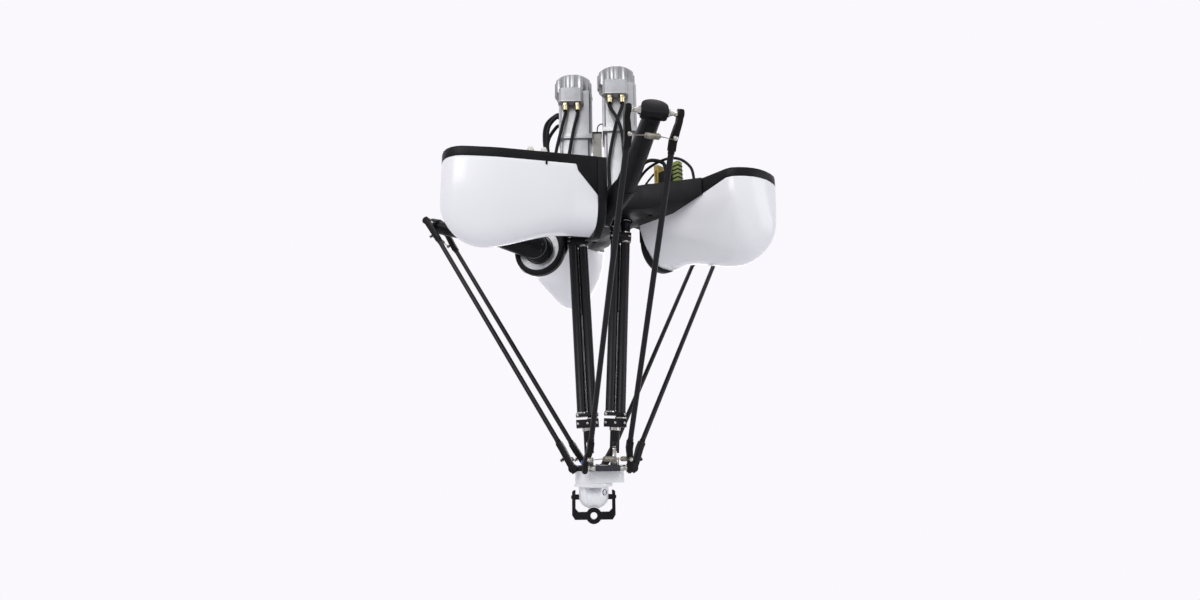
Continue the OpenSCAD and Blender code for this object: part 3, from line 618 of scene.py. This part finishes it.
def make_shell_details(arm):
    """Black upper shell, the screws along its rim and a tab below them."""
    place = arm_base(arm)
    screw_z = -30
    fine_copy(f"upper_shell_{arm}", f"shroud_{arm}", 1.2, angle=40)
    screws = [round_screw("rim_screw", place @ shift_mm(x, y, screw_z) @ turn(90, "X"),
                          "black_shell", "base", head=6.5, height=1.6)
              for x, y in ((-96, -290.4), (-200, -290.4), (-310, -289.5))]
    joined(f"rim_screws_{arm}", screws, "base")
    block(f"rim_tab_{arm}", place, "black_shell", "base",
          low=(-201, -292, -53), high=(-196, -289.5, -42), edge=0.6)


# ---- Base ----
def make_base():
    """Base plate, and a seal ring round each shoulder's end plate."""
    fine_copy("base_plate", "base_frame", 1.5, angle=35)
    for arm in ARMS:
        face = arm_base(arm) @ shift(*hub_at) @ turn(90, "Y")
        ring(f"seal_ring_{arm}", face, "black_shell", "base",
             inner=44.5, outer=47, low=-47.4, high=-45.2, edge=0.6, steps=72)


def make_drives():
    """Rounded drives, motors and caps, with flanges, their screws and the seat of each cap."""
    flange_top, foot_top, screw_off = 184, -4, 44
    for side in SIDES:
        place = drive_frame(side)
        fine_copy(f"drive_block_{side}", f"wrist_drive_{side}", 2, segments=3)
        fine_copy(f"motor_body_{side}", f"wrist_motor_{side}", 1.6)
        fine_copy(f"fluted_cap_{side}", f"motor_cap_{side}", 1.2, angle=25)
        fine_copy(f"connector_housing_{side}", f"connector_box_{side}", 2, segments=3)
        plates = [block("drive_plate", place, "cast_alloy", "base",
                        (-half, -half, low), (half, half, high), edge=2)
                  for half, low, high in ((52, 176, flange_top), (50, -16, foot_top))]
        joined(f"drive_flanges_{side}", plates, "base")
        screws = [socket_screw("drive_screw", place @ shift_mm(x, y, z), "stud_steel", "base",
                               head=9, height=6)
                  for x in (-screw_off, screw_off) for y in (-screw_off, screw_off)
                  for z in (flange_top, foot_top)]
        joined(f"drive_screws_{side}", screws, "base")
        ring(f"cap_seat_{side}", place, "cast_alloy", "base",
             inner=40, outer=53, low=336, high=341, edge=1, steps=64)


def make_glands():
    """Gland bodies and a rubber lip in each."""
    fine_copy("gland_nuts", "cable_glands", 0.6)
    lips = [ring("gland_lip", drive_frame(side) @ shift_mm(x, GLAND_Y, 0), "cable_black", "base",
                 inner=4.9, outer=6.6, low=258.5, high=263, edge=0.8, steps=20)
            for side in SIDES for x in GLAND_X]
    joined("gland_lips", lips, "base")


# Cable routes. Those of the motors and the bundle are in the frame of a wrist drive, the
# harness in that of the base, the box lead in the base's turned by VIEW_TURN, and those
# over the wing in the frame of the third arm.
gland_ends = [[(x, GLAND_Y, 262), (x, GLAND_Y, 250)] for x in GLAND_X]
motor_routes = {
    "left": [
        gland_ends[0] + [(-40, -66, 205), (-60, -60, 110), (-64, -58, -8), (-64, -58, ROOT_Z)],
        gland_ends[1] + [(-8, -66, 180), (-26, -62, 60), (-26, -60, -8), (-26, -60, ROOT_Z)]],
    "right": [
        gland_ends[0] + [(-8, -76, 200), (6, -74, 140), (12, -62, -8), (12, -62, ROOT_Z)],
        gland_ends[1] + [(-12, -60, 195), (-34, -62, 80), (-34, -60, -8), (-34, -60, ROOT_Z)]]}
bundle = [
    [(-51, 13, 290), (-64, 13, 290), (-96, 12, 252), (-96, 8, 170), (-66, 4, 30),
     (-66, 4, ROOT_Z)],
    [(-51, -4, 272), (-63, -4, 272), (-86, -4, 236), (-87, -6, 160), (-66, -12, 40),
     (-66, -12, ROOT_Z)],
    [(-51, 35, 262), (-63, 35, 262), (-89, 36, 216), (-88, 32, 150), (-66, 20, 30),
     (-66, 20, ROOT_Z)]]
harness = [(86, -104, ROOT_Z), (86, -104, -6), (94, -106, 44), (124, -116, 72), (160, -130, 64),
           (169.3, -133.2, 42), (169.3, -133.2, 28)]
box_lead = [(-1, 11, 210), (-1, 11, 224), (2, 11, 238), (12, 11, 246), (24, 12, 240)]
wing_over = [(-92, -62, ROOT_Z), (-98, -62, 20), (-140, -66, 58), (-205, -72, 68),
             (-250, -82, 56), (-284, -88, 20), (-292, -90, ROOT_Z)]
wing_under = [(-110, -78, ROOT_Z), (-112, -78, 10), (-150, -80, 40), (-168, -84, 44),
              (-180, -97, 20), (-196, -97, ROOT_Z)]


def cable(name, place, route, radius, resolution=4):
    return wire(name, place, "cable_black", "base", smooth_line(route), radius, resolution)


def make_cables():
    motor_r, bundle_r, harness_r = 5, 5.5, 5.5
    for side, routes in motor_routes.items():
        leads = [cable("motor_cable", drive_frame(side), route, motor_r) for route in routes]
        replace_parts(joined(f"motor_leads_{side}", leads, "base"), f"motor_cables_{side}")
    strands = [cable("bundle_cable", drive_frame("left"), route, bundle_r) for route in bundle]
    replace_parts(joined("side_bundle", strands, "base"), "cable_bundle")
    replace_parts(cable("cross_harness", Matrix.Identity(4), harness, harness_r), "cable_harness")


# ---- Arms and rods ----
def make_arm(arm):
    """Arm and ball studs, with the hub's screws, ring and boss, a collar and the stud nuts."""
    place = arm_frame(arm)
    body = f"arm_{arm}"
    across = turn(90, "Y")
    screw_count, screw_r, screw_x = 8, 24.5, -16.3
    fine_copy(f"swing_arm_{arm}", f"upper_arm_{arm}", 1.0, angle=28)
    fine_copy(f"tip_studs_{arm}", f"arm_studs_{arm}", 0.3, segments=1, angle=35)
    screws = []
    for k in range(screw_count):
        at = turn(360 / screw_count * (k + 0.5), "X") @ shift_mm(screw_x, 0, screw_r)
        screws.append(socket_screw("hub_screw", place @ at @ across, "plate_anodised", body,
                                   head=10, height=4))
    joined(f"hub_screws_{arm}", screws, body)
    ring(f"hub_ring_{arm}", place @ across, "plate_anodised", body,
         inner=36.5, outer=39.8, low=-16.6, high=-15.2, edge=0.5, steps=64)
    ring(f"hub_boss_{arm}", place @ across, "arm_black", body,
         inner=0.01, outer=9, low=-16.5, high=-13.5, edge=1.2)
    ring(f"arm_collar_{arm}", place @ turn(90, "X"), "arm_black", body,
         inner=24, outer=28.9, low=100, high=104.5, edge=0.8, steps=48)
    tip = place @ shift(0, -arm_len, 0)
    nut_line = [(4, 30), (8.2, 30), (9.2, 31), (9.2, 35.5), (8.2, 36.5), (4, 36.5), (4, 30)]
    nuts = [turned("stud_nut", tip @ turn(90 * sign, "Y"), "stud_steel", body, nut_line,
                   steps=6, smooth=10) for sign in (-1, 1)]
    joined(f"stud_nuts_{arm}", nuts, body)


def spring_path(centre):
    """Hook round one post, along, the close coil, along, hook round the other post."""
    coil_half, coil_r, coil_turns, coil_steps, lead_in = 20, 6, 17, 14, 4
    hook_r, hook_points, hook_step, hook_from, hook_back = 4.4, 14, 20, 40, 300
    count = coil_turns * coil_steps
    points = []
    for k in range(hook_points):
        a = radians(hook_from + k * hook_step)
        points.append((-centre - hook_r * cos(a), 0, hook_r * sin(a)))
    points.append((-coil_half - lead_in, 0, 0))
    for k in range(count + 1):
        t = k / count
        r = coil_r * min(1, 8 * t, 8 * (1 - t)) if 0 < t < 1 else 0
        a = radians(360 * coil_turns * t)
        points.append((-coil_half + 2 * coil_half * t, r * cos(a), r * sin(a)))
    points.append((coil_half + lead_in, 0, 0))
    for k in range(hook_points):
        a = radians(hook_back - k * hook_step)
        points.append((centre + hook_r * cos(a), 0, hook_r * sin(a)))
    return points


def make_rods(arm):
    """Cranked ends, springs on their posts, ferrules on the tubes and the lower ball studs."""
    place = rod_frame(arm)
    body = f"rod_pair_{arm}"
    length = rod_len / MM
    ferrule_z, spring_y, cap_y, spring_r = 82, -13, -17.6, 1.25
    fine_copy(f"cranked_ends_{arm}", f"rod_ends_{arm}", 1.3, angle=35)
    weave_turn = (radians(-rod_lean), 0, radians(-ARM_TURN[arm]))
    node[f"rods_{arm}"].data.materials[0] = carbon_tube(
        f"carbon_rods_{arm}", *CARBON_SHADES, weave_turn)
    springs, pins = [], []
    for z, post_off in ((-51, 0.5), (-length + 36, 4)):
        post = ROD_HALF + post_off
        springs.append(wire("spring", place @ shift_mm(0, spring_y, z), "spring_steel", body,
                            spring_path(post), spring_r, resolution=2))
        for sign in (-1, 1):
            pins.append(round_screw(
                "post_cap", place @ shift_mm(sign * post, cap_y, z) @ turn(90, "X"),
                "stud_steel", body, head=10, height=3.4))
    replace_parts(joined(f"end_springs_{arm}", springs, body), f"springs_{arm}")
    collars = [ring("ferrule", place @ shift_mm(sign * ROD_HALF, 0, 0), "rod_end_black", body,
                    inner=6.9, outer=7.9, low=z - 5, high=z + 5, edge=0.5, steps=24)
               for sign in (-1, 1) for z in (-ferrule_z, -length + ferrule_z)]
    joined(f"post_caps_{arm}", pins, body)
    joined(f"ferrules_{arm}", collars, body)
    fine_copy(f"lower_studs_{arm}", f"platform_studs_{arm}", 0.3, segments=1, angle=35)


# ---- Drive shafts ----
def make_shafts():
    """Tubes, sleeves and stubs, their rings and clamp screws, and strips between the tubes."""
    strip_x, strip_split, screw_y = 0.9, -306, -16.1
    for side in SIDES:
        place = shaft_frame(side)
        upper, lower = f"shaft_upper_{side}", f"shaft_lower_{side}"
        upper_tube = place @ shift_mm(-TUBE_OFF, 0, 0)
        lower_tube = place @ shift_mm(TUBE_OFF, 0, 0)
        end = -shaft_length(side)
        for name, source, edge in (("shaft_tube_a", "upper_shaft", 0.8),
                                   ("shaft_tube_b", "lower_shaft", 0.8),
                                   ("joint_sleeve", "joint_boot", 1.5),
                                   ("input_stub", "wrist_input", 0.8)):
            fine_copy(f"{name}_{side}", f"{source}_{side}", edge)
        for body, tube in ((upper, upper_tube), (lower, lower_tube)):
            ring(f"top_ring_{body}", tube, "stud_steel", body,
                 inner=13.2, outer=14.9, low=-37, high=-31.5, edge=0.8)
            ring(f"upper_collar_{body}", tube, "stud_steel", body,
                 inner=13.2, outer=14.3, low=-75.6, high=-70.4, edge=0.6)
        block(f"wiper_strip_a_{side}", place, "boot_rubber", upper,
              low=(-strip_x, -7, end + 104), high=(strip_x, -2, strip_split))
        block(f"wiper_strip_b_{side}", place, "boot_rubber", lower,
              low=(-strip_x, 2, strip_split), high=(strip_x, 7, -108))
        ring(f"clamp_collar_{side}", lower_tube, "stud_steel", lower,
             inner=13.4, outer=15.2, low=-104, high=-98.2, edge=0.8)
        ring(f"guide_collar_{side}", upper_tube, "stud_steel", upper,
             inner=13.3, outer=15.6, low=end + 98.2, high=end + 103, edge=0.8)
        ring(f"stem_collar_{side}", place, "stud_steel", lower,
             inner=12.9, outer=15.6, low=end + 50, high=end + 59.8, edge=1)
        ring(f"tube_collar_{side}", lower_tube, "stud_steel", lower,
             inner=13.3, outer=15.8, low=end + 82.2, high=end + 87, edge=0.8)
        rows = [(upper, (-24, -8), -59), (upper, (-26, 26), end + 94), (lower, (-26, 26), -87),
                (lower, (-26, 0, 26), end + 71)]
        for k, (body, xs, z) in enumerate(rows):
            screws = []
            for x in xs:
                for facing, sign in ((0, 1), (180, -1)):
                    at = turn(facing, "Z") @ shift_mm(sign * x, screw_y, z) @ turn(90, "X")
                    screws.append(socket_screw("clamp_screw", place @ at, "stud_steel", body,
                                               head=6.5, height=3))
            joined(f"clamp_screws_{side}_{k}", screws, body)


# ---- Platform and wrist ----
def make_wrist():
    """Platform, wrist housing, dome and yoke, with seam, port, tool ring and screws."""
    fine_copy("platform_disc", "platform_plate", 1.2)
    fine_copy("gear_housing", "wrist_housing", 3, segments=4, angle=50)
    fine_copy("turning_dome", "wrist_dome", 1, angle=40)
    fine_copy("tilting_yoke", "yoke", 2.6, segments=4, angle=40)
    fine_copy("air_inlet", "air_fitting", 0.8)
    seam_drop, port_turn, port_at = 47.5, 48, (0, -38.8, 12.5)
    trunnion_x, tool_z = 57.7, -48
    plate_top, screw_r, screw_turns = 7.5, 45, (20, 95, 170, 245)
    seam_z = plat_z / MM - seam_drop
    ring("seam_band", shift(tilt_at.x, tilt_at.y, 0), "white_shell", "dome",
         inner=38, outer=41.2, low=seam_z - 3.2, high=seam_z + 0.4, edge=0.6, steps=72)
    port = wrist_frame @ turn(port_turn, "Z") @ shift_mm(*port_at) @ turn(90, "X")
    ring("port_ring", port, "terminal_black", "dome",
         inner=6.4, outer=8, low=-2, high=1.6, edge=0.5, steps=32)
    ring("port_rim", port, "fitting_blue", "dome",
         inner=7.9, outer=8.7, low=-2, high=0.9, edge=0.2, steps=32)
    turned("port_plug", port, "terminal_black", "dome",
           [(0, -1), (6.4, -1), (6.4, -3), (0, -3), (0, -1)], steps=24)
    socket_screw("port_screw", port @ shift_mm(0, 0, -1.2), "stud_steel", "dome",
                 head=8, height=2.6)
    screws = [socket_screw("trunnion_screw",
                           wrist_frame @ shift_mm(sign * trunnion_x, 0, 0) @ turn(90 * sign, "Y"),
                           "plate_anodised", "yoke", head=9, height=3) for sign in (-1, 1)]
    joined("trunnion_screws", screws, "yoke")
    ring("tool_ring", wrist_frame @ shift_mm(0, 0, tool_z) @ turn(90, "X"), "arm_black", "yoke",
         inner=9.05, outer=13, low=7.6, high=9, edge=0.6, steps=48)
    screws = []
    for a in screw_turns:
        at = shift_mm(screw_r * cos(radians(a)), screw_r * sin(radians(a)), plate_top)
        screws.append(socket_screw("plate_screw", shift(0, 0, plat_z) @ at,
                                   "stud_steel", "platform", head=7, height=3))
    joined("platform_screws", screws, "platform")


# ---- Electrics ----
def make_electrics():
    """Junction box with lid and lead, and the plug, stripes and leads of the third wing."""
    for source, edge in (("junction_box", 1.5), ("terminal_block", 1.0), ("terminal_clip", 1.0),
                         ("striped_plug", 1.2), ("vent_cap", 1.0)):
        fine_copy(f"{source}_body", source, edge)
    box, wing = turn(VIEW_TURN, "Z"), arm_base("c")
    block("box_lid", box, "terminal_black", "base",
          low=(-15.6, -7.6, 204), high=(13.6, 29.6, 210), edge=1)
    cable("box_lead", box, box_lead, 1.8, resolution=3)
    stripe_height = 5
    stripes = [block("plug_stripe", wing, "terminal_black", "base",
                     low=(-252.6, -91.6, z), high=(-231.4, -70.4, z + stripe_height), edge=0.8)
               for z in (-4, 8, 20, 32)]
    joined("plug_stripes", stripes, "base")
    leads = [cable("wing_lead", wing, route, radius, resolution=3)
             for route, radius in ((wing_over, 4), (wing_under, 3))]
    joined("wing_leads", leads, "base")


set_camera()
set_world()
make_floor()
set_lights()
dress_nodes()
make_base()
make_drives()
make_glands()
make_cables()
make_electrics()
for arm in ARMS:
    make_cover(arm)
    make_shell_details(arm)
    make_arm(arm)
    make_rods(arm)
make_shafts()
make_wrist()

bpy.context.scene.view_settings.view_transform = "Standard"
